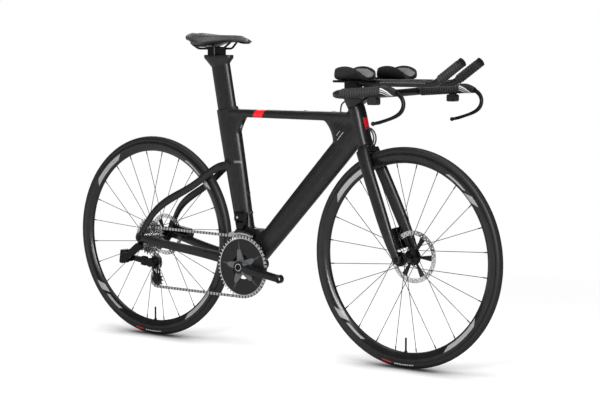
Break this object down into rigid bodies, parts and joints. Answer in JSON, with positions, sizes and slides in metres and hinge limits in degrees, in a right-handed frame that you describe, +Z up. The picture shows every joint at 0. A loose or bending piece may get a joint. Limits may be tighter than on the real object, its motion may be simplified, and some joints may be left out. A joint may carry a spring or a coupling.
{
  "type": "time trial bicycle",
  "caption": "Aero racing bicycle for time trials, with a base bar and arm-rest extensions, disc brakes, spoked wheels, chain drive with derailleurs, and a split-nose saddle.",
  "frame": {"origin": "middle of the footprint on the ground, halfway between the two wheel contacts", "axes": "+X forwards, the way the bicycle rides; +Y to the rider's left; +Z up"},
  "size_m": [1.6899, 0.452, 1.0154],
  "materials": {
    "carbon": "matte dark carbon laminate",
    "carbon_gloss": "gloss black carbon",
    "black_alloy": "black anodised",
    "silver_alloy": "satin silver",
    "steel": "bright steel",
    "dark_steel": "blackened steel",
    "tyre": "matte black rubber",
    "grip": "ribbed black",
    "plastic": "satin black",
    "cover": "matte dark grey synthetic leather",
    "foam": "grey padded fabric",
    "brake_lining": "friction compound"
  },
  "bodies": {
    "frame": {"frame": "carbon", "derailleur_hanger": "black_alloy", "frame_bearings": "steel", "seat_clamp": "silver_alloy", "rear_axle": "black_alloy", "rear_brake_caliper": "black_alloy", "front_derailleur_body": "black_alloy", "chain": "steel", "cable_loop": "plastic", "front_hoses": "plastic", "rear_derailleur_body": "black_alloy"},
    "seatpost": {"seatpost": "carbon", "saddle_clamp": "black_alloy", "saddle_rails": "dark_steel", "saddle_base": "plastic", "saddle_cover": "cover"},
    "steering": {"fork": "carbon", "front_axle": "black_alloy", "front_brake_caliper": "black_alloy", "stem": "carbon", "base_bar": "carbon", "grip_tape": "grip", "brake_lever_bodies": "plastic", "arm_rest_brackets": "black_alloy", "arm_rest_cups": "plastic", "arm_pads": "foam", "extensions": "carbon", "shift_pods": "plastic"},
    "front_wheel": {"front_tyre": "tyre", "front_rim": "carbon_gloss", "front_spokes": "dark_steel", "front_valve": "black_alloy", "front_hub": "black_alloy", "front_hub_bearings": "steel", "front_rotor": "steel"},
    "rear_wheel": {"rear_tyre": "tyre", "rear_rim": "carbon_gloss", "rear_spokes": "dark_steel", "rear_valve": "black_alloy", "rear_hub": "black_alloy", "rear_hub_bearings": "steel", "rear_rotor": "steel"},
    "cassette": {"cassette": "steel"},
    "crank": {"right_crank_arm": "carbon_gloss", "left_crank_arm": "carbon_gloss", "chainrings": "silver_alloy"},
    "brake_lever_right": {"brake_lever_right": "black_alloy"},
    "brake_lever_left": {"brake_lever_left": "black_alloy"},
    "shift_button_right": {"shift_button_right": "grip"},
    "shift_button_left": {"shift_button_left": "grip"},
    "front_pad_inner": {"front_pad_inner": "brake_lining"},
    "front_pad_outer": {"front_pad_outer": "brake_lining"},
    "rear_pad_inner": {"rear_pad_inner": "brake_lining"},
    "rear_pad_outer": {"rear_pad_outer": "brake_lining"},
    "rear_derailleur_link": {"rear_derailleur_link": "black_alloy"},
    "rear_derailleur_knuckle": {"rear_derailleur_knuckle": "black_alloy"},
    "rear_derailleur_cage": {"rear_derailleur_cage": "black_alloy"},
    "guide_pulley": {"guide_pulley": "plastic"},
    "tension_pulley": {"tension_pulley": "plastic"},
    "front_derailleur_cage": {"front_derailleur_cage": "steel"}
  },
  "joints": [
    {"name": "steering_turn", "type": "hinge", "parent": "frame", "child": "steering", "pos_m": [0.35983, 0, 0.66827], "axis": [-0.3007, 0, 0.9537], "range_deg": [-40, 40], "deforming": ["cable_loop", "front_hoses"]},
    {"name": "front_wheel_spin", "type": "hinge", "parent": "steering", "child": "front_wheel", "pos_m": [0.51, 0, 0.335], "axis": [0, 1, 0], "continuous": true},
    {"name": "rear_wheel_spin", "type": "hinge", "parent": "frame", "child": "rear_wheel", "pos_m": [-0.51, 0, 0.335], "axis": [0, 1, 0], "continuous": true},
    {"name": "crank_spin", "type": "hinge", "parent": "frame", "child": "crank", "pos_m": [-0.09165, 0, 0.266], "axis": [0, 1, 0], "continuous": true, "deforming": ["chain"]},
    {"name": "cassette_spin", "type": "hinge", "parent": "frame", "child": "cassette", "pos_m": [-0.51, 0, 0.335], "axis": [0, 1, 0], "continuous": true},
    {"name": "seat_height", "type": "slide", "parent": "frame", "child": "seatpost", "axis": [-0.1908, 0, 0.9816], "range_m": [-0.05, 0.05]},
    {"name": "brake_pull_right", "type": "hinge", "parent": "steering", "child": "brake_lever_right", "pos_m": [0.61403, -0.211, 0.83594], "axis": [0, 1, 0], "range_deg": [0, 18], "stiffness_Nm_per_rad": 1.5, "springref_deg": -11.46},
    {"name": "brake_pull_left", "type": "hinge", "parent": "steering", "child": "brake_lever_left", "pos_m": [0.61403, 0.211, 0.83594], "axis": [0, 1, 0], "range_deg": [0, 18], "stiffness_Nm_per_rad": 1.5, "springref_deg": -11.46},
    {"name": "shift_press_right", "type": "slide", "parent": "steering", "child": "shift_button_right", "axis": [0, -1, 0], "range_m": [0, 0.001], "stiffness_N_per_m": 400, "springref_m": -0.001},
    {"name": "shift_press_left", "type": "slide", "parent": "steering", "child": "shift_button_left", "axis": [0, 1, 0], "range_m": [0, 0.001], "stiffness_N_per_m": 400, "springref_m": -0.001},
    {"name": "front_pad_inner_squeeze", "type": "slide", "parent": "steering", "child": "front_pad_inner", "axis": [0, 1, 0], "range_m": [0, 0.0004]},
    {"name": "front_pad_outer_squeeze", "type": "slide", "parent": "steering", "child": "front_pad_outer", "axis": [0, -1, 0], "range_m": [0, 0.0004]},
    {"name": "rear_pad_inner_squeeze", "type": "slide", "parent": "frame", "child": "rear_pad_inner", "axis": [0, 1, 0], "range_m": [0, 0.0004]},
    {"name": "rear_pad_outer_squeeze", "type": "slide", "parent": "frame", "child": "rear_pad_outer", "axis": [0, -1, 0], "range_m": [0, 0.0004]},
    {"name": "rear_shift", "type": "hinge", "parent": "frame", "child": "rear_derailleur_link", "pos_m": [-0.56136, -0.068, 0.267], "axis": [0.1406, 0, 0.9901], "range_deg": [-15.8, 20.3], "deforming": ["chain"]},
    {"name": "knuckle_turn", "type": "hinge", "parent": "rear_derailleur_link", "child": "rear_derailleur_knuckle", "pos_m": [-0.498, -0.068, 0.258], "axis": [0.1406, 0, 0.9901], "range_deg": [-20.5, 16]},
    {"name": "cage_swing", "type": "hinge", "parent": "rear_derailleur_knuckle", "child": "rear_derailleur_cage", "pos_m": [-0.466, -0.046, 0.254], "axis": [0, 1, 0], "range_deg": [-20, 20], "stiffness_Nm_per_rad": 1, "deforming": ["chain"]},
    {"name": "guide_pulley_spin", "type": "hinge", "parent": "rear_derailleur_cage", "child": "guide_pulley", "pos_m": [-0.466, -0.046, 0.254], "axis": [0, 1, 0], "continuous": true},
    {"name": "tension_pulley_spin", "type": "hinge", "parent": "rear_derailleur_cage", "child": "tension_pulley", "pos_m": [-0.45883, -0.046, 0.19645], "axis": [0, 1, 0], "continuous": true},
    {"name": "front_shift", "type": "hinge", "parent": "frame", "child": "front_derailleur_cage", "pos_m": [-0.10565, -0.033, 0.405], "axis": [1, 0, 0], "range_deg": [0, 11], "deforming": ["chain"]}
  ],
  "couplings": [
    {"joint": "cassette_spin", "follows": "crank_spin", "ratio": 2.8235},
    {"joint": "guide_pulley_spin", "follows": "crank_spin", "ratio": -4},
    {"joint": "tension_pulley_spin", "follows": "crank_spin", "ratio": 4},
    {"joint": "knuckle_turn", "follows": "rear_shift", "ratio": -1},
    {"joint": "front_pad_inner_squeeze", "follows": "brake_pull_left", "m_per_rad": 0.001114},
    {"joint": "front_pad_outer_squeeze", "follows": "brake_pull_left", "m_per_rad": 0.001114},
    {"joint": "rear_pad_inner_squeeze", "follows": "brake_pull_right", "m_per_rad": 0.001114},
    {"joint": "rear_pad_outer_squeeze", "follows": "brake_pull_right", "m_per_rad": 0.001114}
  ]
}
